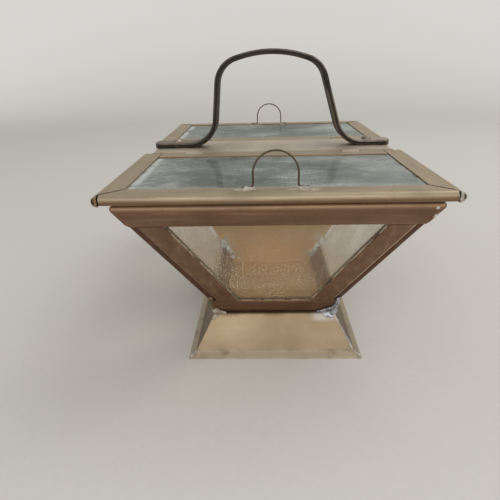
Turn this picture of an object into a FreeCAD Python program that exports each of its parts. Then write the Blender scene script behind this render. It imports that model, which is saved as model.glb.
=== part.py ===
"""A basket-shaped candle lantern of brass and glass.

Four glazed walls splay up from a folded foot pan. Two glazed lids lie on the rim and
turn on pins along the edges of a bridge that carries the handle. Millimetres, +Z up,
origin under the middle of the foot, the front facing -Y.
"""
import FreeCAD
import Part
import math
import os
from FreeCAD import Placement, Rotation, Vector

# Brass strip, folded to the U channel that edges every pane and also cut for the bridge
strip_sheet = 0.7
channel_depth = 4.6
channel_width = 11.0

# Panes, set in the channels
glass_thickness = 3.0
glass_edge_inset = 3.2

# Foot pan: the floor, the flared skirts and the turned-out lip
pan_sheet = 1.0
floor_height = 20.0
pan_ledge = 1.0
skirt_lean = 29.0
lip_rise = 2.6
lip_run = 4.0
pan_fold_radius = 0.4
lip_bend_radius = 5.0

# Walls, measured over the round edges of the top rails
rim_width = 139.0
rim_length = 219.0
wall_rise = 72.4
wall_lean = 29.5
side_stile_inset = 1.75

# Lids
lid_side_overhang = 5.5
lid_end_overhang = 3.5
hinge_rail_width = 13.0
loop_width = 19.0
loop_height = 16.0
loop_wire = 0.8
loop_tail = 4.6
loop_setback = 10.0
loop_foot_bend = 1.4

# Bridge across the rim, with two curled knuckles along each edge
bridge_width = 38.0
bridge_turn_down = 7.6
bridge_fold_radius = 1.0
knuckle_length = 10.0
knuckle_offset = 45.0

# Partition under the bridge
partition_sheet = 1.0

# Handle strip, bent by hand and so a little steeper on the left than on the right
handle_width = 12.0
handle_thickness = 3.0
handle_edge_bevel = 0.8
handle_span = 142.4
handle_tip_radius = 3.5
left_knee = 35.0
right_knee = 42.6
left_shoulder = 30.7
right_shoulder = 29.1
shoulder_height = 45.8
crown_corner_height = 55.5
crown_corner_offset = 1.7
knee_radius = 16.0
shoulder_radius = 15.0

# Rivets through the handle's feet and the bridge
rivet_offset = 58.0
rivet_head_diameter = 6.2
rivet_head_height = 2.0
rivet_shank_diameter = 4.0
rivet_tail_diameter = 5.6
rivet_tail_height = 1.3

# Clearances
soldered_fit = 0.05
lid_gap = 0.4
butt_gap = 0.4
hinge_gap = 0.5
hem_clearance = 0.08
knuckle_fit = 0.03
knuckle_gap = 0.45
rivet_hole_clearance = 0.1
partition_fit = 0.1
notch_margin = 1.0

# Levels and centre lines that follow from the sizes above
edge_radius = channel_depth / 2
flange_reach = channel_width - edge_radius
lean = math.radians(wall_lean)
rim_height = floor_height + wall_rise
lid_top = rim_height + lid_gap + channel_depth
lid_middle = lid_top - edge_radius
top_line_x = rim_width / 2 - edge_radius
top_line_y = rim_length / 2 - edge_radius
wall_run = (wall_rise - channel_depth) * math.tan(lean)
bottom_line_x = top_line_x - wall_run
bottom_line_y = top_line_y - wall_run
wall_slope = (wall_rise - channel_depth) / math.cos(lean)
corner_cosine = math.sin(lean) ** 2
touching = math.hypot(channel_depth + soldered_fit, side_stile_inset * corner_cosine)
end_stile_inset = math.sqrt(touching**2 - side_stile_inset**2) - side_stile_inset * corner_cosine
lid_half_width = rim_width / 2 + lid_side_overhang
free_edge_y = -rim_length / 2 - lid_end_overhang
hinge_y = -bridge_width / 2 - hinge_gap - edge_radius
notch_depth = edge_radius + knuckle_gap
pin_radius = edge_radius - strip_sheet - hem_clearance
upright = Vector(0, 0, 1)


def box(x0, x1, y0, y1, z0, z1):
    """Solid block between two opposite corners."""
    return Part.makeBox(x1 - x0, y1 - y0, z1 - z0, Vector(x0, y0, z0))


def plate(corners, thickness):
    """Flat solid on a closed polygon, extruded by the thickness vector."""
    outline = Part.makePolygon(corners + corners[:1])
    return Part.Face(outline).extrude(thickness)


def rod(radius, start, end):
    """Round bar between two points."""
    axis = end - start
    return Part.makeCylinder(radius, axis.Length, start, axis)


def bent_bar(section, points, radii):
    """Bar with the outline of the section face, run through the points and bent at each inner one."""
    shortest_run = 1e-6
    pieces = []
    start = points[0]
    for before, corner, after, radius in zip(points, points[1:], points[2:], radii):
        back = (before - corner).normalize()
        ahead = (after - corner).normalize()
        half_angle = back.getAngle(ahead) / 2
        reach = radius / math.tan(half_angle)
        run = corner + back * reach - start
        if run.Length > shortest_run:
            pieces.append(section.extrude(run))
            section = section.translated(run)
        bend_axis = ahead.cross(back)
        bend_centre = corner + (back + ahead).normalize() * (radius / math.sin(half_angle))
        bend_angle = 180 - 2 * math.degrees(half_angle)
        pieces.append(section.revolve(bend_centre, bend_axis, bend_angle))
        section = section.rotated(bend_centre, bend_axis, bend_angle)
        start = corner + ahead * reach
    pieces.append(section.extrude(points[-1] - start))
    return pieces[0].fuse(pieces[1:]).removeSplitter()


def bevelled_section(centre, width, height, bevel):
    """Upright face across X, width along Y and height along Z, with its corners cut off."""
    y = width / 2
    z = height / 2
    quarter = [(y, z - bevel), (y - bevel, z)]
    half = quarter + [(-side, rise) for side, rise in reversed(quarter)]
    outline = half + [(-side, -rise) for side, rise in half]
    corners = [centre + Vector(0, side, rise) for side, rise in outline]
    return Part.Face(Part.makePolygon(corners + corners[:1]))


def rounded_path(points, radii):
    """Wire through the points, rounded at each inner one."""
    edges = []
    start = points[0]
    for before, corner, after, radius in zip(points, points[1:], points[2:], radii):
        back = (before - corner).normalize()
        ahead = (after - corner).normalize()
        half_angle = back.getAngle(ahead) / 2
        reach = radius / math.tan(half_angle)
        inwards = (back + ahead).normalize()
        middle = corner + inwards * (radius / math.sin(half_angle) - radius)
        end = corner + ahead * reach
        edges.append(Part.makeLine(start, corner + back * reach))
        edges.append(Part.Arc(corner + back * reach, middle, end).toShape())
        start = end
    edges.append(Part.makeLine(start, points[-1]))
    return Part.Wire(edges)


def channel_bar(length, width):
    """U channel along X, its round edge centred on the origin and its flanges towards +Y."""
    outer = edge_radius
    inner = edge_radius - strip_sheet
    tip = width - edge_radius
    profile = [
        Part.makeLine(Vector(0, tip, outer), Vector(0, 0, outer)),
        Part.Arc(Vector(0, 0, outer), Vector(0, -outer, 0), Vector(0, 0, -outer)).toShape(),
        Part.makeLine(Vector(0, 0, -outer), Vector(0, tip, -outer)),
        Part.makeLine(Vector(0, tip, -outer), Vector(0, tip, -inner)),
        Part.makeLine(Vector(0, tip, -inner), Vector(0, 0, -inner)),
        Part.Arc(Vector(0, 0, -inner), Vector(0, -inner, 0), Vector(0, 0, inner)).toShape(),
        Part.makeLine(Vector(0, 0, inner), Vector(0, tip, inner)),
        Part.makeLine(Vector(0, tip, inner), Vector(0, tip, outer)),
    ]
    bar = Part.Face(Part.Wire(profile)).extrude(Vector(length, 0, 0))
    return bar.translated(Vector(-length / 2, 0, 0))


def foot_pan():
    """Floor, skirts and lip: one sheet folded down, its corners mitred."""
    skirt_slope = math.tan(math.radians(skirt_lean))
    lip_slope = lip_run / lip_rise

    def ridge(bottom_line, across, along, depth):
        """Long block with the pan's cross-section, taken depth below the sheet's outer face."""
        skirt_wall = depth * math.hypot(1, skirt_slope)
        lip_wall = depth * math.hypot(1, lip_slope)
        top_rise = floor_height - depth
        crease_rise = lip_rise + (skirt_wall - lip_wall) / (lip_slope - skirt_slope)
        half_top = bottom_line + edge_radius + pan_ledge - skirt_wall + depth * skirt_slope
        half_crease = half_top + (top_rise - crease_rise) * skirt_slope
        half_tip = half_crease + crease_rise * lip_slope
        outline = [(half_tip, 0), (half_crease, crease_rise), (half_top, top_rise)]
        outline += [(-side, rise) for side, rise in reversed(outline)]
        points = [across * side + upright * rise for side, rise in outline]
        lip_bend = lip_bend_radius + depth
        fold = pan_fold_radius + pan_sheet - depth
        path = rounded_path(points, [lip_bend, fold, fold, lip_bend])
        profile = Part.Wire(path.Edges + [Part.makeLine(points[-1], points[0])])
        length = 2 * rim_length
        return Part.Face(profile).translated(along * (-length / 2)).extrude(along * length)

    def block(depth):
        x_axis = Vector(1, 0, 0)
        y_axis = Vector(0, 1, 0)
        width_ridge = ridge(bottom_line_x, x_axis, y_axis, depth)
        return width_ridge.common(ridge(bottom_line_y, y_axis, x_axis, depth))

    return block(0).cut(block(pan_sheet))


def glazed_wall(half_bottom, half_top, stile_inset):
    """Five solids of one wall, lying flat: X along the wall, Y up its slope, Z outwards.

    half_bottom and half_top place the corner lines at the centres of the bottom and top
    round edges. The stiles stand stile_inset back from the corner lines, where their round
    edges meet those of the next wall. The rails end in line with the side walls' stiles.
    """
    slant = math.atan2(half_top - half_bottom, wall_slope)

    def edge_x(y, offset):
        return half_bottom + math.tan(slant) * y + offset / math.cos(slant)

    def trapezium(y0, y1, offset, z0, z1):
        corners = [
            Vector(-edge_x(y0, offset), y0, z0),
            Vector(edge_x(y0, offset), y0, z0),
            Vector(edge_x(y1, offset), y1, z0),
            Vector(-edge_x(y1, offset), y1, z0),
        ]
        return plate(corners, Vector(0, 0, z1 - z0))

    uncut_length = 4 * half_top
    rail_room = trapezium(
        -channel_width,
        wall_slope + channel_width,
        edge_radius - side_stile_inset,
        -channel_depth,
        channel_depth,
    )
    rail_bar = channel_bar(uncut_length, channel_width)
    bottom_rail = rail_bar.common(rail_room)
    top_rail = rail_bar.rotated(Vector(), upright, 180).translated(Vector(0, wall_slope, 0))
    top_rail = top_rail.common(rail_room)

    stile_bar = channel_bar(2 * wall_slope, channel_width)
    stile_bar = stile_bar.rotated(Vector(), upright, 90 - math.degrees(slant))
    middle = Vector(edge_x(wall_slope / 2, -stile_inset), wall_slope / 2, 0)
    stile_end = flange_reach + butt_gap
    between_rails = box(
        -uncut_length,
        uncut_length,
        stile_end,
        wall_slope - stile_end,
        -channel_depth,
        channel_depth,
    )
    right_stile = stile_bar.translated(middle).common(between_rails)
    left_stile = right_stile.mirror(Vector(), Vector(1, 0, 0))

    pane_low = glass_edge_inset - edge_radius
    pane_outside = edge_radius - strip_sheet
    glass = trapezium(
        pane_low,
        wall_slope - pane_low,
        -pane_low - stile_inset,
        pane_outside - glass_thickness,
        pane_outside,
    )
    return {
        "bottom_rail": bottom_rail,
        "top_rail": top_rail,
        "left_stile": left_stile,
        "right_stile": right_stile,
        "glass": glass,
    }


def stand_wall(solid, heading, distance):
    """Lean a flat wall piece outwards and set it on the floor, facing the heading."""
    outwards = Vector(math.cos(heading), math.sin(heading), 0)
    along = Vector(-math.sin(heading), math.cos(heading), 0)
    up_slope = outwards * math.sin(lean) + upright * math.cos(lean)
    face = outwards * math.cos(lean) - upright * math.sin(lean)
    foot = outwards * distance + upright * (floor_height + edge_radius)
    stance = Placement(foot, Rotation(along, up_slope, face, "XYZ"))
    standing = solid.copy()
    standing.Placement = stance * solid.Placement
    return standing


def mitre_room(heading, distance, half_bottom):
    """Upright prism between the mitre planes through a wall's two corner lines."""
    near = distance - channel_width
    far = distance + wall_run + channel_width
    corners = []
    for depth, side in ((near, -1), (near, 1), (far, 1), (far, -1)):
        half_length = half_bottom + depth - distance - soldered_fit / math.sqrt(2)
        corners.append(Vector(depth, side * half_length, 0))
    room = plate(corners, upright * lid_top)
    return room.rotated(Vector(), upright, math.degrees(heading))


def walls():
    """Two side walls and two end walls, their rails mitred together at the corners."""
    side_wall = glazed_wall(bottom_line_y, top_line_y, side_stile_inset)
    end_wall = glazed_wall(bottom_line_x, top_line_x, end_stile_inset)
    nodes = {}
    for side, wall, quarter_turns, distance, half_bottom in (
        ("right", side_wall, 0, bottom_line_x, bottom_line_y),
        ("rear", end_wall, 1, bottom_line_y, bottom_line_x),
        ("left", side_wall, 2, bottom_line_x, bottom_line_y),
        ("front", end_wall, 3, bottom_line_y, bottom_line_x),
    ):
        heading = quarter_turns * math.pi / 2
        room = mitre_room(heading, distance, half_bottom)
        for piece, solid in wall.items():
            standing = stand_wall(solid, heading, distance)
            nodes[f"{side}_{piece}"] = standing.common(room) if "rail" in piece else standing
    return nodes


def partition():
    """Upright plate between the side walls, notched at the top for the rivet tails."""
    floor_x = bottom_line_x - edge_radius * math.tan(lean)
    floor_x -= (edge_radius + partition_fit) / math.cos(lean)
    rim_x = floor_x + wall_rise * math.tan(lean)
    top = lid_top - strip_sheet
    near_face = -partition_sheet / 2
    corners = [
        Vector(-floor_x, near_face, floor_height),
        Vector(floor_x, near_face, floor_height),
        Vector(rim_x, near_face, rim_height),
        Vector(rim_x, near_face, top),
        Vector(-rim_x, near_face, top),
        Vector(-rim_x, near_face, rim_height),
    ]
    sheet = plate(corners, Vector(0, partition_sheet, 0))
    half_notch = rivet_tail_diameter / 2 + notch_margin
    notch_floor = top - rivet_tail_height - notch_margin
    for centre in (-rivet_offset, rivet_offset):
        notch = box(
            centre - half_notch,
            centre + half_notch,
            -partition_sheet,
            partition_sheet,
            notch_floor,
            lid_top,
        )
        sheet = sheet.cut(notch)
    return sheet


def bridge():
    """Strip across the rim, its ends turned down and its tabs curled round the pins."""
    end_inside = rim_width / 2 + soldered_fit
    end_outside = end_inside + strip_sheet
    half_width = bridge_width / 2
    under = lid_top - strip_sheet
    foot = lid_top - bridge_turn_down
    block = box(-end_outside, end_outside, -half_width, half_width, foot, lid_top)
    folds = [
        edge
        for edge in block.Edges
        if edge.BoundBox.ZMin > under and edge.BoundBox.XLength < strip_sheet
    ]
    block = block.makeFillet(bridge_fold_radius, folds)
    strap = block.cut(box(-end_inside, end_inside, -half_width, half_width, foot, under))
    bores = []
    for x in (-knuckle_offset, knuckle_offset):
        for y in (-hinge_y, hinge_y):
            x0 = x - knuckle_length / 2
            x1 = x + knuckle_length / 2
            start = Vector(x0, y, lid_middle)
            end = Vector(x1, y, lid_middle)
            edge_y = math.copysign(half_width, y)
            tab = box(x0, x1, min(y, edge_y), max(y, edge_y), under, lid_top)
            strap = strap.fuse([rod(edge_radius, start, end), tab])
            bores.append(rod(pin_radius + knuckle_fit, start, end))
    hole_radius = rivet_shank_diameter / 2 + rivet_hole_clearance
    for x in (-rivet_offset, rivet_offset):
        bores.append(rod(hole_radius, Vector(x, 0, foot), Vector(x, 0, lid_top)))
    return strap.cut(bores).removeSplitter()


def front_hinge_pin():
    """Wire in the fold of the hinge rail, held by the knuckles."""
    half_length = lid_half_width - channel_width - butt_gap
    start = Vector(-half_length, hinge_y, lid_middle)
    return rod(pin_radius, start, Vector(half_length, hinge_y, lid_middle))


def pull_loop():
    """Wire arch with its two tails lying on the free rail."""
    half_width = loop_width / 2
    y = free_edge_y + loop_setback
    foot = lid_top + loop_wire / 2
    top = lid_top + loop_height - loop_wire / 2
    outline = [(-half_width - loop_tail, foot), (-half_width, foot), (-half_width, top)]
    outline += [(-x, z) for x, z in reversed(outline)]
    points = [Vector(x, y, z) for x, z in outline]
    eight_flats = loop_wire * (1 - math.sqrt(0.5))
    section = bevelled_section(points[0], loop_wire, loop_wire, eight_flats)
    return bent_bar(section, points, [loop_foot_bend, half_width, half_width, loop_foot_bend])


def front_lid():
    """Frame, pane and pull loop of the lid over the front half."""
    inner_x = lid_half_width - edge_radius
    free_line = free_edge_y + edge_radius
    mitre_slit = butt_gap * math.sqrt(2)

    def lid_prism(outline):
        corners = [Vector(x, y, lid_top - channel_depth) for x, y in outline]
        return plate(corners, Vector(0, 0, channel_depth))

    end_x = inner_x - mitre_slit
    mitre_end = free_line + channel_width
    free_rail = channel_bar(2 * end_x, channel_width).translated(Vector(0, free_line, lid_middle))
    mitre = lid_prism([(end_x, free_line), (end_x, mitre_end), (end_x - channel_width, mitre_end)])
    free_rail = free_rail.cut([mitre, mitre.mirror(Vector(), Vector(1, 0, 0))])

    side_length = hinge_y - free_edge_y
    side_bar = channel_bar(side_length, channel_width).rotated(Vector(), upright, 90)
    side_bar = side_bar.translated(Vector(inner_x, (free_edge_y + hinge_y) / 2, lid_middle))
    tip_x = inner_x - channel_width
    cope = [(inner_x, free_edge_y), (inner_x, free_line), (tip_x, mitre_end), (tip_x, free_edge_y)]
    right_rail = side_bar.cut(lid_prism(cope))
    left_rail = right_rail.mirror(Vector(), Vector(1, 0, 0))

    hinge_length = 2 * (lid_half_width - channel_width - butt_gap)
    hinge_bar = channel_bar(hinge_length, hinge_rail_width).rotated(Vector(), upright, 180)
    hinge_rail = hinge_bar.translated(Vector(0, hinge_y, lid_middle))
    half_notch = knuckle_length / 2 + knuckle_gap
    for centre in (-knuckle_offset, knuckle_offset):
        notch = box(
            centre - half_notch,
            centre + half_notch,
            hinge_y - notch_depth,
            hinge_y + channel_depth,
            lid_top - channel_depth,
            lid_top,
        )
        hinge_rail = hinge_rail.cut(notch)

    pane_x = lid_half_width - glass_edge_inset
    pane_bottom = lid_top - channel_depth + strip_sheet
    glass = box(
        -pane_x,
        pane_x,
        free_edge_y + glass_edge_inset,
        hinge_y - notch_depth - knuckle_gap,
        pane_bottom,
        pane_bottom + glass_thickness,
    )
    return {
        "free_rail": free_rail,
        "left_rail": left_rail,
        "right_rail": right_rail,
        "hinge_rail": hinge_rail,
        "glass": glass,
        "pull_loop": pull_loop(),
    }


def handle():
    """Flat strip: two feet, two legs and a crown that swells between the shoulders."""
    foot = lid_top + handle_thickness / 2
    shoulder = foot + shoulder_height
    half_span = handle_span / 2
    outline = [
        (-half_span, foot),
        (-left_knee, foot),
        (-left_shoulder, shoulder),
        (crown_corner_offset, foot + crown_corner_height),
        (right_shoulder, shoulder),
        (right_knee, foot),
        (half_span, foot),
    ]
    points = [Vector(x, 0, z) for x, z in outline]
    crown_corner = points[3]
    crown_runs = []
    for knee, corner in ((points[1], points[2]), (points[5], points[4])):
        half_angle = (knee - corner).getAngle(crown_corner - corner) / 2
        shoulder_reach = shoulder_radius / math.tan(half_angle)
        crown_runs.append((crown_corner - corner).Length - shoulder_reach)
    crown_angle = (points[2] - crown_corner).getAngle(points[4] - crown_corner)
    crown_radius = min(crown_runs) * math.tan(crown_angle / 2)
    radii = [knee_radius, shoulder_radius, crown_radius, shoulder_radius, knee_radius]
    section = bevelled_section(points[0], handle_width, handle_thickness, handle_edge_bevel)
    strip = bent_bar(section, points, radii)

    half_width = handle_width / 2
    crown_room = foot + crown_corner_height
    room = box(-half_span, half_span, -half_width, half_width, 0, crown_room)
    corners = [edge for edge in room.Edges if edge.BoundBox.ZLength > lid_top]
    strip = strip.common(room.makeFillet(handle_tip_radius, corners))
    hole_radius = rivet_shank_diameter / 2 + rivet_hole_clearance
    hole_top = lid_top + handle_thickness
    for x in (-rivet_offset, rivet_offset):
        strip = strip.cut(rod(hole_radius, Vector(x, 0, lid_top), Vector(x, 0, hole_top)))
    return strip


def dome(diameter, height):
    """Spherical cap standing on the origin."""
    rim = diameter / 2
    ball = (rim**2 + height**2) / (2 * height)
    half_angle = math.asin(min(1, rim / ball)) / 2
    side = Vector(ball * math.sin(half_angle), 0, height - ball + ball * math.cos(half_angle))
    profile = [
        Part.makeLine(Vector(), Vector(rim, 0, 0)),
        Part.Arc(Vector(rim, 0, 0), side, Vector(0, 0, height)).toShape(),
        Part.makeLine(Vector(0, 0, height), Vector()),
    ]
    return Part.Face(Part.Wire(profile)).revolve(Vector(), upright, 360)


def handle_rivets():
    """Two dome-headed rivets, each closed with a low dome under the bridge."""
    head_seat = lid_top + handle_thickness
    tail_seat = lid_top - strip_sheet
    rivets = []
    for x in (-rivet_offset, rivet_offset):
        head = dome(rivet_head_diameter, rivet_head_height).translated(Vector(x, 0, head_seat))
        tail = dome(rivet_tail_diameter, rivet_tail_height)
        tail = tail.rotated(Vector(), Vector(1, 0, 0), 180).translated(Vector(x, 0, tail_seat))
        shank = rod(rivet_shank_diameter / 2, Vector(x, 0, tail_seat), Vector(x, 0, head_seat))
        rivets.append(shank.fuse([head, tail]).removeSplitter())
    return Part.makeCompound(rivets)


def lantern():
    """Every piece by its node name."""
    nodes = {"foot_pan": foot_pan(), "partition": partition(), "bridge": bridge()}
    nodes.update(walls())
    nodes["handle"] = handle()
    nodes["handle_rivets"] = handle_rivets()
    nodes["front_hinge_pin"] = front_hinge_pin()
    nodes["rear_hinge_pin"] = nodes["front_hinge_pin"].rotated(Vector(), upright, 180)
    for piece, solid in front_lid().items():
        nodes[f"front_lid_{piece}"] = solid
        nodes[f"rear_lid_{piece}"] = solid.rotated(Vector(), upright, 180)
    return nodes


os.makedirs("parts", exist_ok=True)
for name, shape in lantern().items():
    shape.exportStep(f"parts/{name}.step")
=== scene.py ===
import math

import bmesh
import bpy
from mathutils import Color, Matrix, Vector, noise


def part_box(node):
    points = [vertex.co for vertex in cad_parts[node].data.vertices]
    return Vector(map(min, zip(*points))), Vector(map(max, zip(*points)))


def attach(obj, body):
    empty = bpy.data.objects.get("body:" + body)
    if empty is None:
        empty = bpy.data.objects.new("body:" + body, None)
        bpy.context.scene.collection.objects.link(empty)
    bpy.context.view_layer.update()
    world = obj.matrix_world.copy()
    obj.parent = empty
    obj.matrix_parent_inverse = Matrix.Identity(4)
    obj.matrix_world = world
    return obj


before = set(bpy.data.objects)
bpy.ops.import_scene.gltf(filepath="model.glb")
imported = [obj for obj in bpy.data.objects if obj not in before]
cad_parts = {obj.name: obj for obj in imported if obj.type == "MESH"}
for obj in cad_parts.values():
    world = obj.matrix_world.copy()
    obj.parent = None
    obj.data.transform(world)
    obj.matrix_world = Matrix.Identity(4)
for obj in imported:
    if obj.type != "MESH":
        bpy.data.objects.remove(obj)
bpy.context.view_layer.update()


# The foot is one brass sheet folded down on four sides into flared skirts with a turned-out lip.
# Its flat top is the floor of the box. Handling has dulled it to a satin khaki. Painted shade
# makes it browner below the top fold, at the crease above the lip and on the side skirts, and a
# painted highlight makes the lip paler.
def feed(socket, value):
    """Set the input of a shader node, or link it to another node."""
    if isinstance(value, Socket):
        value.tree.links.new(value.output, socket)
    else:
        socket.default_value = value


class Socket:
    """The output of a shader node, for use in Python expressions."""

    def __init__(self, tree, output):
        self.tree = tree
        self.output = output

    def node(self, kind, settings, sockets, output=0):
        """An output of a new node of this kind, with its settings and the values of its sockets."""
        made = self.tree.nodes.new("ShaderNode" + kind)
        for name, value in settings.items():
            setattr(made, name, value)
        for name, value in sockets.items():
            feed(made.inputs[name], value)
        return Socket(self.tree, made.outputs[output])

    def maths(self, operation, first, second):
        return self.node("Math", {"operation": operation}, {0: first, 1: second})

    def __add__(self, other):
        return self.maths("ADD", self, other)

    def __radd__(self, other):
        return self.maths("ADD", other, self)

    def __sub__(self, other):
        return self.maths("SUBTRACT", self, other)

    def __rsub__(self, other):
        return self.maths("SUBTRACT", other, self)

    def __mul__(self, other):
        return self.maths("MULTIPLY", self, other)

    def __rmul__(self, other):
        return self.maths("MULTIPLY", other, self)

    def __abs__(self):
        return self.maths("ABSOLUTE", self, 0)

    def larger(self, other):
        return self.maths("MAXIMUM", self, other)

    def fade(self, start, end):
        """0 at start and 1 at end, with a soft beginning and finish."""
        return self.node(
            "MapRange",
            {"interpolation_type": "SMOOTHSTEP"},
            {"Value": self, "From Min": start, "From Max": end},
        )

    def tint(self, below, above):
        """The colour below where this is 0 and the colour above where it is 1."""
        # A Mix node has a set of like-named sockets for each kind of data, so these go by number.
        return self.node(
            "Mix",
            {"data_type": "RGBA", "clamp_factor": True},
            {0: self, 6: below, 7: above},
            output=2,
        )

    def part(self, axis):
        """One of the x, y and z parts of a vector."""
        return self.node("SeparateXYZ", {}, {0: self}, output="XYZ".index(axis))

    def stretch(self, x, y, z):
        return self.node("Mapping", {}, {"Vector": self, "Scale": (x, y, z)})

    def mottle(self, scale, detail=3.0, roughness=0.5):
        """Cloudy patches, scale of them to the metre."""
        return self.node(
            "TexNoise",
            {},
            {"Vector": self, "Scale": scale, "Detail": detail, "Roughness": roughness},
        )

    def grains(self, scale, size):
        """Round grains in half of the cells over x and y, scale cells to the metre, size in cells."""
        settings = {"voronoi_dimensions": "2D"}
        sockets = {"Vector": self, "Scale": scale}
        nearest = self.node("TexVoronoi", settings, sockets, output="Distance")
        kept = self.node("TexVoronoi", settings, sockets, output="Color").part("X").fade(0.45, 0.55)
        return nearest.fade(size / 2, size / 4) * kept

    def relief(self, depth, under=None):
        """The normal of a surface that this height, from 0 to 1, raises by depth in metres."""
        sockets = {"Height": self, "Distance": depth, "Strength": 1.0}
        if under is not None:
            sockets["Normal"] = under
        return self.node("Bump", {}, sockets)

    def ray(self, kind):
        """1 for rays of light of this kind, otherwise 0."""
        return self.node("LightPath", {}, {}, output=f"Is {kind} Ray")


class Finish:
    """A material that is built up in layers. Its patterns start from the place on the object."""

    def __init__(self, name):
        self.material = bpy.data.materials.new(name)
        self.material.use_nodes = True
        self.nodes = self.material.node_tree.nodes
        self.shader = self.nodes["Principled BSDF"]
        self.surface = Socket(self.material.node_tree, self.shader.outputs[0])
        self.place = self.surface.node("TexCoord", {}, {}, output="Object")

    def facing(self, axis):
        """How far the surface faces along an axis, from -1 to 1."""
        return self.surface.node("TexCoord", {}, {}, output="Normal").part(axis)

    def shade(self, **values):
        """Set or link sockets of the shader, named in small letters."""
        for name, value in values.items():
            feed(self.shader.inputs[name.replace("_", " ").title().replace("Ior", "IOR")], value)

    def paint(self, colour):
        self.colour = colour
        self.shade(base_color=colour)

    def stain_and_shade(self, share, colour):
        """Lay a colour over those so far, as thickly as share says: real stains, and painted shade and
        highlights.
        """
        self.paint(share.tint(self.colour, colour))

    def cover(self, share, other):
        """Show another shader in place of the surface so far, as much as share says."""
        self.surface = self.surface.node("MixShader", {}, {0: share, 1: self.surface, 2: other})
        feed(self.nodes["Material Output"].inputs["Surface"], self.surface)

    def dress(self, *names):
        """Put the finish on pieces of the CAD model."""
        for name in names:
            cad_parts[name].material_slots[0].material = self.material


def tone(red, green, blue):
    """A colour as a screen shows it, each part from 0 to 255, as the shaders take it."""
    linear = Color((red / 255, green / 255, blue / 255)).from_srgb_to_scene_linear()
    return (*linear, 1.0)


def sheet_finish(name, worn, dull, pale, pale_share, shine):
    """Satin brass sheet: faint clouds of tarnish over fine rolling marks, with rubbed patches."""
    sheet = Finish(name)
    clouds = sheet.place.mottle(22.0, 5.0, 0.55)
    rubbed = sheet.place.stretch(1.0, 0.35, 1.0).mottle(60.0, 4.0).fade(0.5, 0.75)
    specks = sheet.place.mottle(900.0, 2.0).fade(0.62, 0.72)
    rolling = sheet.place.stretch(0.04, 1.0, 1.0).mottle(700.0, 2.0)
    waves = sheet.place.mottle(20.0, 2.0).relief(0.0008)
    sheet.paint(clouds.fade(0.2, 0.85).tint(worn, dull))
    sheet.stain_and_shade(rubbed * pale_share, pale)
    sheet.stain_and_shade(specks * 0.3, dull)
    sheet.shade(
        metallic=shine,
        roughness=0.36 + clouds * 0.16 + rolling * 0.06,
        normal=rolling.relief(0.00002, waves),
    )
    return sheet


_, foot_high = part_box("foot_pan")
floor_z = foot_high.z
LIP_RISE = 0.0026
WELL_X = 0.027
WELL_Y = 0.067
TINNED_X = 0.0265
TINNED_Y = -0.07
foot = sheet_finish(
    "satin_foot_brass",
    worn=tone(150, 132, 106),
    dull=tone(138, 118, 92),
    pale=tone(164, 148, 122),
    pale_share=0.35,
    shine=0.8,
)
level = foot.place.part("Z")
off_x = abs(foot.place.part("X"))
off_y = abs(foot.place.part("Y"))
# Darker towards the bottom of the skirts, in patches.
low_darkening = level.fade(0.011, 0.004) * foot.place.mottle(40.0, 4.0).fade(0.2, 0.7)
# Painted highlight: the turned-out lip is painted paler in patches, where it faces the light.
lip_highlight = level.fade(LIP_RISE + 0.0012, LIP_RISE - 0.0006) * foot.place.mottle(120.0).fade(0.2, 0.5)
# Painted shade: a darker line in the crease above the lip.
crease_shadow = abs(level - LIP_RISE - 0.0004).fade(0.0008, 0.0) * foot.place.mottle(70.0).fade(0.3, 0.6)
# The lower edge of the lip is painted paler, partly wear and partly a painted highlight.
lip_wear_and_highlight = level.fade(0.0008, 0.0) * foot.place.mottle(160.0).fade(0.4, 0.6)
# Painted shadow: darker just below the top fold, under the bottom rails.
fold_shadow = level.fade(floor_z - 0.0025, floor_z - 0.0003) * foot.place.mottle(90.0, 4.0).fade(0.35, 0.65)
# Painted shade: the left and right skirts are darker than the front and rear.
side_shade = abs(foot.facing("X")).fade(0.3, 0.75) * level.fade(floor_z + 0.0005, floor_z - 0.0005)
under_shade = foot.facing("Z").fade(-0.02, -0.2)
inside = off_x.fade(WELL_X + 0.0005, WELL_X - 0.0005) * off_y.fade(WELL_Y + 0.0005, WELL_Y - 0.0005)
floor_gilt = level.fade(floor_z - 0.0001, floor_z - 0.00005) * inside
# Painted shade: the floor of the box is darker towards the front and rear walls.
floor_end_shade = floor_gilt * off_y.fade(0.015, 0.055)
tinned = abs(foot.place.part("X") - TINNED_X).fade(0.008, 0.004)
tinned = tinned * foot.place.part("Y").fade(TINNED_Y, TINNED_Y - 0.002)
tinned = tinned * level.fade(floor_z - 0.0045, floor_z - 0.0025)
tinned = tinned * foot.place.mottle(200.0, 4.0).fade(0.25, 0.5)
foot.stain_and_shade(low_darkening * 0.45, tone(112, 100, 78))
foot.stain_and_shade(lip_highlight * 0.7, tone(204, 190, 168))
foot.stain_and_shade(crease_shadow * 0.4, tone(88, 74, 54))
foot.stain_and_shade(lip_wear_and_highlight * 0.6, tone(214, 200, 172))
foot.stain_and_shade(fold_shadow * 0.6, tone(104, 82, 58))
foot.stain_and_shade(side_shade * 0.55, tone(92, 76, 54))
foot.stain_and_shade(under_shade * 0.7, tone(98, 76, 54))
foot.stain_and_shade(floor_gilt * 0.9, tone(238, 198, 148))
foot.stain_and_shade(floor_end_shade * 0.35, tone(158, 130, 98))
foot.stain_and_shade(tinned * 0.7, tone(172, 168, 164))
foot.shade(metallic=0.8 - floor_gilt * 0.5)
foot.dress("foot_pan")


# Each wall is framed by four brass strips folded to a U channel round the edge of the glass.
# The rails are mitred at the corners, and the stiles butt between them. The strips are tarnished
# brown, partly a painted reflection, with painted shade on the faces turned down and on the side
# stiles, and a painted highlight along the rounded edge of the front and rear stiles.
END_WALLS = ("front", "rear")
SIDE_WALLS = ("left", "right")
ALONG_X = (0.06, 1.0, 1.0)
ALONG_Y = (1.0, 0.06, 1.0)
UPWARDS = (0.5, 0.5, 0.25)


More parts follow.
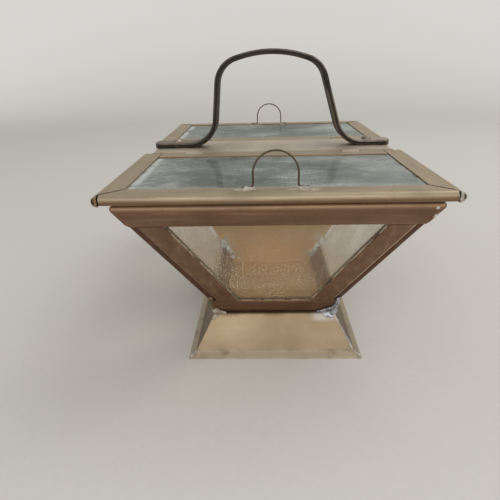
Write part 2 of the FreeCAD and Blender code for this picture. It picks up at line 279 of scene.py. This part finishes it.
def strip_finish(name, grain, upper, lower, rubbed, dark):
    """Folded brass strip, streaked along its grain, with painted shade making the faces turned down
    browner.
    """
    strip = Finish(name)
    clouds = strip.place.mottle(38.0, 5.0, 0.55)
    # Painted shade: faces turned down take the lower colour, faces turned up the upper one.
    lit_share = (strip.facing("Z") + (clouds - 0.5) * 0.5).fade(-0.35, 0.45)
    streaks = strip.place.stretch(*grain).mottle(420.0, 5.0, 0.6)
    spots = strip.place.mottle(420.0).fade(0.6, 0.74)
    waves = strip.place.mottle(45.0, 2.0).relief(0.0006)
    strip.paint(lit_share.tint(lower, upper))
    strip.stain_and_shade(streaks.fade(0.48, 0.72) * 0.4, rubbed)
    strip.stain_and_shade(streaks.fade(0.5, 0.3) * 0.3, dark)
    strip.stain_and_shade(clouds.fade(0.52, 0.78) * 0.35, dark)
    strip.stain_and_shade(spots * 0.3, dark)
    strip.shade(metallic=0.8, roughness=0.42 + clouds * 0.2, normal=streaks.relief(0.00003, waves))
    return strip


# The wall strips' brown is partly a painted reflection, and lower is painted shade.
brown_tones = {
    "upper": tone(152, 124, 98),
    "lower": tone(131, 100, 78),
    "rubbed": tone(176, 148, 118),
    "dark": tone(90, 67, 51),
}
end_rail = strip_finish("brown_end_rail_brass", ALONG_X, **brown_tones)
side_rail = strip_finish("brown_side_rail_brass", ALONG_Y, **brown_tones)
end_stile = strip_finish("brown_end_stile_brass", UPWARDS, **brown_tones)
# The side stiles are painted darker all over, as painted shade on edges turned away from the light.
side_stile = strip_finish(
    "shaded_side_stile_brass",
    UPWARDS,
    upper=tone(122, 92, 74),
    lower=tone(104, 74, 58),
    rubbed=tone(140, 112, 90),
    dark=tone(76, 54, 42),
)
# Painted highlight along the rounded nose of the front and rear stiles, where they meet the side stiles.
sideways = end_stile.facing("X")
nose_highlight = sideways.fade(0.2, 0.4) * sideways.fade(0.75, 0.6)
nose_highlight = nose_highlight * end_stile.place.mottle(60.0, 4.0).fade(0.25, 0.5)
end_stile.stain_and_shade(nose_highlight * 0.8, tone(214, 194, 166))
for walls, rail, stile in ((END_WALLS, end_rail, end_stile), (SIDE_WALLS, side_rail, side_stile)):
    for wall in walls:
        rail.dress(f"{wall}_bottom_rail", f"{wall}_top_rail")
        stile.dress(f"{wall}_left_stile", f"{wall}_right_stile")


# The four wall panes are 3 mm window glass, slid into the channels before the corners were
# soldered. They are clear, with golden specks of dust and a grey line along the frame that is
# partly dirt and partly a painted highlight on the glass edge.
SILL = 0.0291
HEAD = 0.0817
PANE_LIGHT = tone(250, 250, 246)
SPECK_TONE = tone(236, 224, 198)


def pane_finish(name, dirt, film_tone, smear_tone, through):
    """Dirty glass. The function dirt gives the shares of the film and of the smears in it."""
    pane = Finish(name)
    film_share, smear_share = dirt(pane.place)
    film_colour = smear_share.tint(film_tone, smear_tone)
    film = pane.place.node(
        "BsdfPrincipled",
        {},
        {"Base Color": film_colour, "Roughness": 0.6, "Specular IOR Level": 0.15},
    )
    clear = pane.place.node("BsdfTransparent", {}, {"Color": through})
    pane.shade(base_color=tone(252, 253, 250), transmission_weight=1.0, roughness=0.01, ior=1.46)
    pane.cover(film_share, film)
    pane.cover(pane.place.ray("Shadow").larger(pane.place.ray("Diffuse")), clear)
    return pane


def wall_dirt(along, across, half_sill, half_head, mid_plane, haze_share):
    """Dust on a wall pane, open half_sill to each side at the sill and half_head at the head.

    mid_plane is where the middle of the glass, drawn on downwards, meets the ground.
    """
    spread = (half_head - half_sill) / (HEAD - SILL)

    def dirt(place):
        rise = place.part("Z")
        side = abs(place.part(along)) - rise * spread - (half_sill - SILL * spread)
        rim = side.larger(SILL - rise).larger(rise - HEAD)
        # A line along the frame: partly dirt, partly a painted highlight on the glass edge.
        grime_and_glint = rim.fade(-0.0009, -0.0002) * place.mottle(170.0).fade(0.4, 0.6) * 0.85
        haze = place.mottle(30.0, 4.0).fade(0.3, 0.8)
        inner_face = (abs(place.part(across)) - rise * spread).fade(mid_plane, mid_plane - 0.001)
        settled = inner_face * rise.fade(0.092, 0.045) * place.mottle(60.0).fade(0.22, 0.52)
        settled = settled * (0.6 + place.part(along).fade(0.02, -0.02) * 0.4)
        flat = place.node("CombineXYZ", {}, {"X": place.part(along), "Y": rise})
        specks = flat.grains(540.0, 0.44).larger(flat.grains(860.0, 0.46) * 0.75) * settled
        share = (haze * haze_share + settled * 0.14 + specks * 0.85).larger(grime_and_glint * 0.75).larger(0.04)
        return share, grime_and_glint.larger(specks)

    return dirt


end_dirt = wall_dirt("X", "Y", half_sill=0.0191, half_head=0.0488, mid_plane=0.0563, haze_share=0.16)
side_dirt = wall_dirt("Y", "X", half_sill=0.0614, half_head=0.0912, mid_plane=0.0163, haze_share=0.22)
end_pane = pane_finish("dusty_front_glass", end_dirt, tone(184, 162, 128), SPECK_TONE, PANE_LIGHT)
side_pane = pane_finish("dusty_left_glass", side_dirt, tone(236, 224, 210), SPECK_TONE, PANE_LIGHT)
end_pane.dress(*(f"{wall}_glass" for wall in END_WALLS))
side_pane.dress(*(f"{wall}_glass" for wall in SIDE_WALLS))


# The partition is one brass plate that stands on the floor under the bridge and divides the
# box in two. It keeps more of its golden colour than the outside, and is browner higher up. Its
# edges are smeared with white where they were tacked to the walls.
WALL_SLOPE = 0.566
WALL_FOOT = 0.011
partition = sheet_finish(
    "golden_partition_brass",
    worn=tone(242, 198, 144),
    dull=tone(224, 178, 124),
    pale=tone(246, 216, 172),
    pale_share=0.4,
    shine=0.3,
)
stand = partition.place.part("Z")
beside_wall = abs(partition.place.part("X")) - stand * WALL_SLOPE - WALL_FOOT
tack_smear = beside_wall.fade(-0.009, -0.001) * stand.fade(floor_z + 0.0015, floor_z + 0.007)
tack_smear = tack_smear * stand.fade(floor_z + 0.026, floor_z + 0.016)
tack_smear = tack_smear * partition.place.mottle(140.0, 5.0, 0.6).fade(0.38, 0.58)
partition.stain_and_shade(stand.fade(floor_z + 0.006, floor_z + 0.03) * 0.55, tone(150, 120, 88))
partition.stain_and_shade(tack_smear * 0.75, tone(216, 214, 210))
partition.dress("partition")


# The bridge is one brass strip laid across the rim, its ends turned down over the side rails.
# Its curled tabs hold the two hinge pins, plain brass wire pushed through the lids' rolled edge.
bridge = sheet_finish(
    "pale_bridge_brass",
    worn=tone(204, 191, 171),
    dull=tone(166, 152, 132),
    pale=tone(224, 214, 197),
    pale_share=0.5,
    shine=0.65,
)
bridge.dress("bridge")
pin = strip_finish(
    "hinge_pin_brass",
    ALONG_X,
    upper=tone(150, 132, 100),
    lower=tone(112, 90, 62),
    rubbed=tone(176, 156, 118),
    dark=tone(70, 54, 40),
)
pin.dress("front_hinge_pin", "rear_hinge_pin")


# Each lid is a flat frame of the same U channel round its glass, with a wider rail at the hinge.
# The outer corners are mitred, with a painted shadow line in the joints. The faces turned up
# are light khaki and the rounded edges browner, a painted shade on the faces turned down, and
# there is white flux round the pull loop's feet.
LIDS = {"front_lid": -1, "rear_lid": 1}
MITRE_LEAD = 0.038
FLUX_X = 0.0125
FLUX_Y = 0.1052
FLUX_LENGTHS_PER_METRE = 130.0
FLUX_WIDTHS_PER_METRE = 270.0
khaki_tones = {
    "upper": tone(168, 153, 129),
    "lower": tone(136, 107, 80),
    "rubbed": tone(188, 174, 147),
    "dark": tone(118, 101, 78),
}
lid_rail = strip_finish("khaki_rail_brass", ALONG_X, **khaki_tones)
lid_side = strip_finish("khaki_side_brass", ALONG_Y, **khaki_tones)
for strip in (lid_rail, lid_side):
    ahead = abs(strip.place.part("Y"))
    off_mitre = abs(abs(strip.place.part("X")) - ahead + MITRE_LEAD)
    # Painted shadow: a dark line along the mitre joints of the corners.
    mitre_shadow = off_mitre.fade(0.0014, 0.0005) * ahead.fade(0.1, 0.103)
    strip.stain_and_shade(mitre_shadow * 0.85, tone(48, 39, 31))
_, rail_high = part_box("front_lid_free_rail")
flux_across = (abs(lid_rail.place.part("X")) - FLUX_X) * FLUX_LENGTHS_PER_METRE
flux_ahead = (abs(lid_rail.place.part("Y")) - FLUX_Y) * FLUX_WIDTHS_PER_METRE
ragged = (lid_rail.place.mottle(280.0) - 0.45) * 3.0
flux = (flux_across * flux_across + flux_ahead * flux_ahead + ragged).fade(0.9, 0.1)
flux = flux * lid_rail.place.mottle(700.0, 4.0, 0.6).fade(0.34, 0.54)
flux = flux * lid_rail.place.part("Z").fade(rail_high.z - 0.0019, rail_high.z - 0.0009)
lid_rail.stain_and_shade(flux * 0.75, tone(222, 218, 212))
tinned_end = lid_side.place.part("X").fade(0.0705, 0.0725)
tinned_end = tinned_end * abs(lid_side.place.part("Y")).fade(0.108, 0.1105)
tinned_end = tinned_end * lid_side.place.mottle(300.0).fade(0.35, 0.55)
lid_side.stain_and_shade(tinned_end * 0.8, tone(206, 202, 196))
for lid in LIDS:
    lid_rail.dress(f"{lid}_free_rail", f"{lid}_hinge_rail")
    lid_side.dress(f"{lid}_left_rail", f"{lid}_right_rail")


# The lid panes are the same window glass, held in the channels. They carry a grey-green film of
# old soot and dust, wiped into whitish smears that are thickest along the frame. The film is also
# painted paler towards the sides and the right, a painted reflection.
OPENING_X = 0.064
OPENING_NEAR = 0.0325
OPENING_FAR = 0.102


def lid_dirt(place):
    """The shares of the film and of the smears in it on a lid's pane."""
    to_right = place.part("X")
    side = abs(to_right) - OPENING_X
    ahead = abs(place.part("Y"))
    rim = side.larger(ahead - OPENING_FAR).larger(OPENING_NEAR - ahead)
    left_band = to_right.fade(0.0065 - OPENING_X, 0.002 - OPENING_X)
    edge = rim.fade(-0.0025, -0.0002).larger(left_band) * place.mottle(120.0, 4.0).fade(0.22, 0.52)
    # Painted reflection: the film is paler towards the sides and the right, darker in the middle.
    side_sheen = side.fade(-0.044, -0.004)
    clouds = place.stretch(0.7, 1.0, 1.0).mottle(32.0, 6.0, 0.62)
    wiped = place.stretch(0.6, 1.0, 1.0).mottle(170.0, 8.0, 0.75)
    scratches = place.stretch(0.2, 1.0, 1.0).mottle(620.0, 4.0, 0.6).fade(0.58, 0.72)
    dots = place.grains(520.0, 0.5).larger(place.grains(830.0, 0.5)) * clouds.fade(0.42, 0.6)
    scum = ahead.fade(OPENING_FAR - 0.01, OPENING_FAR) * place.mottle(150.0, 6.0, 0.65).fade(0.4, 0.6)
    smear = clouds.fade(0.36, 0.72) * 0.35 + wiped.fade(0.45, 0.72) * 0.3 + side_sheen * 0.12
    smear = smear + scum * 0.3 + to_right.fade(0.015, 0.05) * 0.12
    share = (0.7 + clouds * 0.2 + smear * 0.15).larger(edge * 0.95)
    return share, (smear + scratches * 0.15 + dots * 0.35).larger(edge * 0.85)


lid_pane = pane_finish(
    "sooty_lid_glass",
    lid_dirt,
    film_tone=tone(84, 92, 87),
    smear_tone=tone(208, 214, 206),
    through=tone(236, 236, 230),
)
lid_pane.dress(*(f"{lid}_glass" for lid in LIDS))


# The pull loops are thin brass wire, one on each lid. Each is bent to an arch with two tails,
# which are soldered flat to the free rail.
loop_wire = strip_finish(
    "loop_wire_brass",
    UPWARDS,
    upper=tone(108, 94, 75),
    lower=tone(74, 62, 48),
    rubbed=tone(146, 130, 106),
    dark=tone(54, 46, 38),
)
loop_wire.dress(*(f"{lid}_pull_loop" for lid in LIDS))


# The handle is one flat brass strip bent to an arch, its edges filed round. It is patinated
# nearly black, with painted highlights that tint its edges brown and the tops of its two feet
# pale, most of all on the right.
handle = Finish("dark_handle_brass")
clouds = handle.place.mottle(55.0, 5.0, 0.6)
sideways = abs(handle.facing("Y"))
# Painted highlight: the rounded edges are tinted paler brown, more on the right.
edge = sideways.fade(0.25, 0.6) * sideways.fade(0.98, 0.85)
scuffs = handle.place.mottle(320.0).fade(0.55, 0.72)
low_down = handle.place.part("Z").fade(0.106, 0.1015)
# Painted highlight on the tops of the two feet, stronger on the right.
foot_top_highlight = handle.facing("Z").fade(0.6, 0.9) * low_down
on_right = handle.place.part("X").fade(0.0, 0.04)
dents = handle.place.mottle(40.0, 2.0).relief(0.001)
handle.paint(clouds.fade(0.35, 0.7).tint(tone(26, 24, 22), tone(41, 37, 33)))
handle.stain_and_shade(edge * (0.4 + on_right * 0.4) * clouds.fade(0.3, 0.6), tone(148, 132, 114))
handle.stain_and_shade(scuffs * 0.2, tone(108, 98, 86))
handle.stain_and_shade(foot_top_highlight * clouds.fade(0.2, 0.5) * (0.5 + on_right * 0.4), tone(178, 164, 148))
handle.shade(
    metallic=0.5,
    roughness=0.45 + clouds * 0.25,
    normal=handle.place.mottle(160.0).relief(0.0002, dents),
)
handle.dress("handle")


# Two dome-headed rivets hold the handle to the bridge. The left one is rubbed to a coppery
# shine, and the right one is dull and greenish.
rivets = Finish("rivet_brass")
on_right = rivets.place.part("X").fade(-0.02, 0.02)
clouds = rivets.place.mottle(260.0, 4.0)
coppery = clouds.fade(0.4, 0.7).tint(tone(164, 144, 132), tone(116, 98, 86))
greenish = clouds.fade(0.4, 0.7).tint(tone(136, 132, 118), tone(102, 98, 86))
rivets.paint(on_right.tint(coppery, greenish))
rivets.shade(
    metallic=0.8,
    roughness=0.28 + on_right * 0.2 + clouds * 0.1,
    normal=clouds.relief(0.0003),
)
rivets.dress("handle_rivets")


# Tin solder holds the corners of the foot and the walls together. It was run in with an iron
# and left unfiled: silvery or cream lumps at the waist, browned strips up two of the wall
# corners, a ragged seam down the foot and smears at the rim.
def solder_finish(name, bright, oxide, shine):
    """Tin solder, bright in some patches and oxidised in others, with a rough crust."""
    solder = Finish(name)
    patches = solder.place.mottle(240.0).fade(0.4, 0.65)
    crust = solder.place.mottle(500.0)
    solder.paint(patches.tint(bright, oxide))
    solder.shade(metallic=shine, roughness=0.28 + patches * 0.3, normal=crust.relief(0.00015))
    return solder


silver_solder = solder_finish("silvery_solder", tone(142, 143, 148), tone(190, 190, 194), shine=0.75)
chalky_solder = solder_finish("chalky_solder", tone(158, 148, 138), tone(204, 198, 190), shine=0.3)
cream_solder = solder_finish("cream_solder", tone(196, 184, 170), tone(146, 130, 112), shine=0.3)
brown_solder = solder_finish("browned_solder", tone(134, 108, 84), tone(104, 80, 60), shine=0.8)
COARSE_VOXEL = 0.00025
FINE_VOXEL = 0.0002
RIPPLES_PER_METRE = 700.0
RIPPLE_HEIGHT = 0.00012
SOLDER_SEED = 3
noise.seed_set(SOLDER_SEED)


def lump(centre, outwards, width, length, height):
    """Where a lump of solder lies, which way it faces, and its half-sizes."""
    turn = Vector(outwards).to_track_quat("Z", "Y").to_matrix().to_4x4()
    return Matrix.Translation(centre) @ turn @ Matrix.Diagonal((width, length, height, 1.0))


def run_solder(start, end, outwards, count, width, height, wander):
    """Lumps that follow a seam from start to end, uneven as a hand leaves them."""
    lumps = []
    for step in range(count):
        share = step / (count - 1)
        swing = noise.noise_vector(Vector((share * 9.0, start[0] * 300.0, start[1] * 300.0)))
        swell = 0.75 + 0.6 * abs(noise.noise(Vector((share * 14.0, start[0] * 500.0, 3.0))))
        centre = Vector(start).lerp(Vector(end), share) + swing * wander
        lumps.append(lump(centre, outwards, width * swell, width * swell * 1.3, height * swell))
    return lumps


def melt(name, body, lumps, finish, voxel):
    """One piece of solder: the lumps flow together into a single skin."""
    drops = bmesh.new()
    for matrix in lumps:
        bmesh.ops.create_icosphere(drops, subdivisions=3, radius=1.0, matrix=matrix)
    for vertex in drops.verts:
        vertex.co += noise.noise_vector(vertex.co * RIPPLES_PER_METRE) * RIPPLE_HEIGHT
    mesh = bpy.data.meshes.new(name)
    drops.to_mesh(mesh)
    drops.free()
    mesh.materials.append(finish.material)
    piece = bpy.data.objects.new(name, mesh)
    bpy.context.scene.collection.objects.link(piece)
    skin = piece.modifiers.new("one skin", "REMESH")
    skin.mode = "VOXEL"
    skin.voxel_size = voxel
    skin.use_smooth_shade = True
    flow = piece.modifiers.new("flow", "SMOOTH")
    flow.factor = 0.5
    flow.iterations = 8
    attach(piece, body)


def at_corner(sides, x, y, z):
    """A place or direction given for the right rear corner, at the corner on these sides."""
    return sides[0] * x, sides[1] * y, z


CORNERS = {"left_front": (-1, -1), "right_front": (1, -1), "left_rear": (-1, 1), "right_rear": (1, 1)}
THICK_CORNERS = ("right_front", "left_rear")
RIM_CORNERS = ("right_front", "left_rear", "right_rear")
SKIRT_RUN = 0.01365
LIP_RUN = 0.004
waist_x = foot_high.x - SKIRT_RUN
waist_y = foot_high.y - SKIRT_RUN
# The joints' lumps: across, ahead and up from the waist corner, outwards, half-width and height.
ROUND_CORNER = (0.6, 1.0, -0.2)
ON_RAIL = (0.0, 0.87, -0.49)
ON_SKIRT = (0.0, 0.87, 0.48)
THIN_JOINT = (
    (-0.0002, -0.0001, 0.0012, ROUND_CORNER, 0.0019, 0.0012),
    (0.0002, 0.0004, 0.0030, ROUND_CORNER, 0.0013, 0.0010),
    (-0.0014, 0.0000, 0.0022, ON_RAIL, 0.0014, 0.0008),
    (-0.0022, -0.0002, 0.0006, ROUND_CORNER, 0.0016, 0.0011),
    (-0.0039, -0.0004, 0.0004, ROUND_CORNER, 0.0013, 0.0009),
    (-0.0055, -0.0005, 0.0002, ROUND_CORNER, 0.0009, 0.0007),
    (-0.0008, 0.0004, -0.0009, ON_SKIRT, 0.0016, 0.0005),
    (0.0006, 0.0014, -0.0022, ON_SKIRT, 0.0012, 0.0005),
)
THICK_JOINT = (
    (-0.0002, 0.0000, 0.0008, ROUND_CORNER, 0.0022, 0.0014),
    (-0.0004, 0.0006, 0.0034, ROUND_CORNER, 0.0021, 0.0011),
    (0.0006, 0.0012, 0.0052, ROUND_CORNER, 0.0018, 0.0010),
    (0.0012, 0.0018, 0.0074, ROUND_CORNER, 0.0016, 0.0009),
    (0.0015, 0.0023, 0.0094, ROUND_CORNER, 0.0015, 0.0009),
    (-0.0026, 0.0003, 0.0022, ON_RAIL, 0.0022, 0.0009),
    (-0.0048, -0.0002, 0.0012, ON_RAIL, 0.0019, 0.0009),
    (-0.0068, -0.0005, 0.0006, ON_RAIL, 0.0015, 0.0007),
    (-0.0086, -0.0008, 0.0003, ON_RAIL, 0.0010, 0.0005),
    (-0.0018, 0.0005, -0.0010, ON_SKIRT, 0.0020, 0.0004),
    (-0.0044, 0.0004, -0.0008, ON_SKIRT, 0.0017, 0.0003),
)
for corner, sides in CORNERS.items():
    thick = corner in THICK_CORNERS
    waist_lumps = []
    for across, ahead, rise, outwards, width, height in THICK_JOINT if thick else THIN_JOINT:
        centre = at_corner(sides, waist_x + across, waist_y + ahead, floor_z + rise)
        waist_lumps.append(lump(centre, at_corner(sides, *outwards), width, width, height))
    waist_finish = silver_solder if thick else cream_solder
    melt(f"{corner}_waist_solder", "body", waist_lumps, waist_finish, COARSE_VOXEL)
    if not thick:
        low = at_corner(sides, waist_x + 0.0004, waist_y + 0.0008, floor_z + 0.0036)
        high = at_corner(sides, waist_x + 0.0014, waist_y + 0.0024, floor_z + 0.0100)
        outwards = at_corner(sides, *ROUND_CORNER)
        strip_lumps = run_solder(low, high, outwards, count=9, width=0.0014, height=0.0009, wander=0.0)
        melt(f"{corner}_wall_solder", "body", strip_lumps, brown_solder, COARSE_VOXEL)

seam_lumps = []
for corner, sides in CORNERS.items():
    top = at_corner(sides, waist_x, waist_y, floor_z - 0.0006)
    crease = at_corner(sides, foot_high.x - LIP_RUN, foot_high.y - LIP_RUN, LIP_RISE)
    tip = at_corner(sides, foot_high.x - 0.001, foot_high.y - 0.001, 0.0011)
    outwards = at_corner(sides, 1.0, 1.0, 0.7)
    if corner in THICK_CORNERS:
        seam_lumps += run_solder(
            top, crease, outwards, count=26, width=0.0007, height=0.0005, wander=0.0004
        )
    seam_lumps += run_solder(crease, tip, outwards, count=9, width=0.0008, height=0.0005, wander=0.0003)
melt("foot_seam_solder", "body", seam_lumps, chalky_solder, FINE_VOXEL)

rim_lumps = []
for corner in RIM_CORNERS:
    sides = CORNERS[corner]
    start = at_corner(sides, 0.0654, 0.1093, 0.0899)
    end = at_corner(sides, 0.0684, 0.1088, 0.0909)
    outwards = (0.0, sides[1], 0.1)
    rim_lumps += run_solder(start, end, outwards, count=11, width=0.0008, height=0.0004, wander=0.0004)
    start = at_corner(sides, 0.0678, 0.1089, 0.0896)
    end = at_corner(sides, 0.0655, 0.1070, 0.0853)
    outwards = at_corner(sides, 0.3, 1.0, -0.5)
    rim_lumps += run_solder(start, end, outwards, count=9, width=0.0008, height=0.0004, wander=0.0003)
melt("rim_corner_solder", "body", rim_lumps, chalky_solder, FINE_VOXEL)


# The partition is tacked to the bottom rails of the side walls with the same tin solder, on
# both of its faces. The tacks were left as chalky white crusts.
PARTITION_FACE = 0.0008
white_solder = solder_finish("white_solder", tone(208, 206, 206), tone(234, 232, 230), shine=0.1)
tack_lumps = []
for x_side in (-1, 1):
    for y_side in (-1, 1):
        sides = (x_side, y_side)
        low = at_corner(sides, 0.0262, PARTITION_FACE, floor_z + 0.0052)
        high = at_corner(sides, 0.0326, PARTITION_FACE, floor_z + 0.0158)
        outwards = (0.0, y_side, 0.2)
        tack_lumps += run_solder(low, high, outwards, count=13, width=0.0018, height=0.0005, wander=0.0016)
melt("partition_solder", "body", tack_lumps, white_solder, COARSE_VOXEL)


# Each pull loop's tails lie in a smear of solder on the free rail, and the open ends of the
# lid's side rails are stopped with a bead of it. Both were left as they ran.
TAIL_LENGTH = 0.0046
UP = (0.0, 0.0, 1.0)
# The lumps beside a tail: along it, ahead of it and half-width.
TAIL_LUMPS = ((0.0010, 0.0014, 0.0009), (0.0034, 0.0018, 0.0008), (0.0056, 0.0010, 0.0006))
# The lumps of a bead: in from the lid's side, up from its middle and half-width.
BEAD_LUMPS = ((0.0015, -0.0010, 0.0009), (0.0013, 0.0001, 0.0011), (0.0015, 0.0011, 0.0008))
for lid, y_side in LIDS.items():
    loop_low, loop_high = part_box(f"{lid}_pull_loop")
    _, rail_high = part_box(f"{lid}_free_rail")
    loop_y = (loop_low.y + loop_high.y) / 2
    bend_x = loop_high.x - TAIL_LENGTH
    smear_lumps = []
    for x_side in (-1, 1):
        bend = (x_side * (bend_x - 0.0002), loop_y, rail_high.z + 0.0003)
        tail_end = (x_side * (loop_high.x - 0.0006), loop_y + y_side * 0.0006, rail_high.z + 0.0001)
        smear_lumps += run_solder(bend, tail_end, UP, count=7, width=0.0008, height=0.0005, wander=0.0003)
        for along, ahead, size in TAIL_LUMPS:
            centre = (x_side * (bend_x + along), loop_y + y_side * ahead, rail_high.z)
            smear_lumps.append(lump(centre, UP, size, size * 0.8, 0.0003))
    melt(f"{lid}_loop_solder", lid, smear_lumps, chalky_solder, FINE_VOXEL)
    side_low, side_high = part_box(f"{lid}_left_rail")
    side_x = max(abs(side_low.x), abs(side_high.x))
    end_y = y_side * max(abs(side_low.y), abs(side_high.y))
    middle_z = (side_low.z + side_high.z) / 2
    for side, x_side, bead_finish in (("left", -1, brown_solder), ("right", 1, chalky_solder)):
        bead_lumps = []
        for inwards, rise, size in BEAD_LUMPS:
            centre = (x_side * (side_x - inwards), end_y - y_side * 0.0008, middle_z + rise)
            bead_lumps.append(lump(centre, (0.0, y_side, 0.0), size, size, 0.0007))
        melt(f"{lid}_{side}_bead", lid, bead_lumps, bead_finish, FINE_VOXEL)


# The lantern stands on a plain pale floor of paper that curves up at the back. A step away from
# the lantern the paper fades into an even backdrop, so that no edge of it shows.
BACKDROP = tone(214, 212, 208)
FLOOR_WIDTH = 30.0
FLOOR_DEPTH = 14.0
BACK_LINE = 2.0
BACK_HEIGHT = 2.6
BACK_BEND = 1.0
FADE_START = 0.8
FADE_END = 1.9


def seen_rays(start):
    """1 for the rays of the camera, of a reflection and of a look through glass, otherwise 0."""
    return start.ray("Camera").larger(start.ray("Glossy")).larger(start.ray("Transmission"))


sheet = bmesh.new()
bmesh.ops.create_grid(sheet, x_segments=1, y_segments=1, size=0.5)
bmesh.ops.scale(sheet, vec=(FLOOR_WIDTH, FLOOR_DEPTH, 1.0), verts=sheet.verts)
bmesh.ops.translate(sheet, vec=(0.0, BACK_LINE - FLOOR_DEPTH / 2, 0.0), verts=sheet.verts)
back = [edge for edge in sheet.edges if all(vertex.co.y > 0 for vertex in edge.verts)]
raised = bmesh.ops.extrude_edge_only(sheet, edges=back)["geom"]
back_top = [item for item in raised if isinstance(item, bmesh.types.BMVert)]
bmesh.ops.translate(sheet, vec=(0.0, 0.0, BACK_HEIGHT), verts=back_top)
bmesh.ops.bevel(
    sheet, geom=back, offset=BACK_BEND, segments=24, profile=0.5, affect="EDGES", material=-1
)
for face in sheet.faces:
    face.smooth = True
floor_mesh = bpy.data.meshes.new("studio_floor")
sheet.to_mesh(floor_mesh)
sheet.free()
floor = bpy.data.objects.new("studio_floor", floor_mesh)
bpy.context.scene.collection.objects.link(floor)
paper = Finish("pale_paper")
paper.paint(paper.place.mottle(300.0, 2.0).tint(tone(222, 218, 212), tone(228, 224, 218)))
paper.shade(roughness=0.9)
distance = paper.place.node("VectorMath", {"operation": "LENGTH"}, {0: paper.place}, output="Value")
even_light = paper.place.node("Emission", {}, {"Color": BACKDROP})
paper.cover(distance.fade(FADE_START, FADE_END) * seen_rays(paper.place), even_light)
floor_mesh.materials.append(paper.material)


# The light is soft and plain: an even grey world, one lamp above on the right like a window, and
# one before the lantern. What looks past the floor sees the same backdrop.
WORLD_GREY = (0.5, 0.5, 0.5, 1.0)
LAMP_TARGET = Vector((0.0, 0.0, 0.06))
LAMP_SIZE = 0.9
LAMP_POWER = 5.0
world = bpy.data.worlds.new("studio")
bpy.context.scene.world = world
world.use_nodes = True
background = world.node_tree.nodes["Background"]
seen = seen_rays(Socket(world.node_tree, background.outputs[0]))
feed(background.inputs["Color"], seen.tint(WORLD_GREY, BACKDROP))
for name, position in (
    ("window_lamp", Vector((0.7, 0.3, 1.2))),
    ("front_lamp", Vector((0.0, -1.2, 0.6))),
):
    lamp = bpy.data.lights.new(name, "AREA")
    lamp.shape = "SQUARE"
    lamp.size = LAMP_SIZE
    lamp.energy = LAMP_POWER
    holder = bpy.data.objects.new(name, lamp)
    aim = (LAMP_TARGET - position).to_track_quat("-Z", "Y")
    holder.matrix_world = Matrix.LocRotScale(position, aim, None)
    bpy.context.scene.collection.objects.link(holder)


# The camera stands a little above the lids, close to the front end, and looks down along the
# length of the lantern. It is turned aside and leans by a degree or two.
IMAGE_PIXELS = 500
FOCAL_PIXELS = 470.0
PITCH = math.radians(22.219)
YAW = math.radians(-1.862)
ROLL = math.radians(-1.275)
EYE = (-0.00512, -0.2944, 0.14769)
camera = bpy.data.cameras.new("camera")
camera.sensor_width = 36.0
camera.lens = camera.sensor_width * FOCAL_PIXELS / IMAGE_PIXELS
forward = Vector((math.sin(YAW) * math.cos(PITCH), math.cos(YAW) * math.cos(PITCH), -math.sin(PITCH)))
level_right = Vector((math.cos(YAW), -math.sin(YAW), 0.0))
right = Matrix.Rotation(ROLL, 3, -forward) @ level_right
up = right.cross(forward)
turn = Matrix((right, up, -forward)).transposed()
viewer = bpy.data.objects.new("camera", camera)
viewer.matrix_world = Matrix.Translation(EYE) @ turn.to_4x4()
bpy.context.scene.collection.objects.link(viewer)
bpy.context.scene.camera = viewer
bpy.context.scene.view_settings.view_transform = "Standard"
